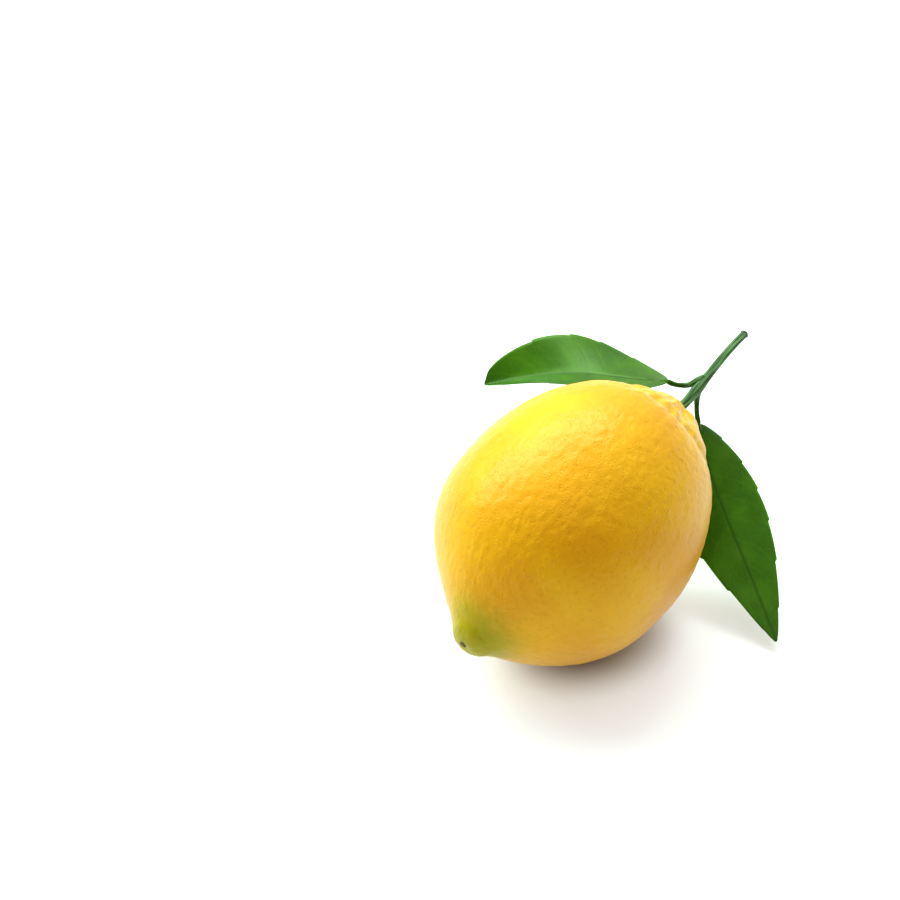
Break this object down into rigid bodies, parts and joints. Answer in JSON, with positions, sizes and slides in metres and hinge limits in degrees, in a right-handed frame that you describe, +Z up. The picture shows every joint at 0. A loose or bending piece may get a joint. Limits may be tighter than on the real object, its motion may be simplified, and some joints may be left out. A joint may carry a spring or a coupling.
{
  "type": "lemon",
  "caption": "Whole ripe lemon lying on its side on a small flat spot, with its calyx, a cut green twig and leaves.",
  "frame": {"origin": "on the flat spot that the fruit rests on, under the fruit's axis and its lowest skin", "axes": "+X level along the fruit from the blossom tip to the stem end, +Z up from the ground"},
  "size_m": [0.108, 0.0861, 0.0624],
  "materials": {
    "rind": "waxy lemon rind with fine oil glands, soft sheen",
    "calyx": "dull green calyx, a little corky",
    "twig": "smooth ridged green shoot, satin",
    "leaf": "leathery glossy leaf, paler below"
  },
  "bodies": {
    "root": {"fruit": "rind", "calyx": "calyx", "twig": "twig", "leaf_left": "leaf", "leaf_right": "leaf"}
  },
  "joints": []
}
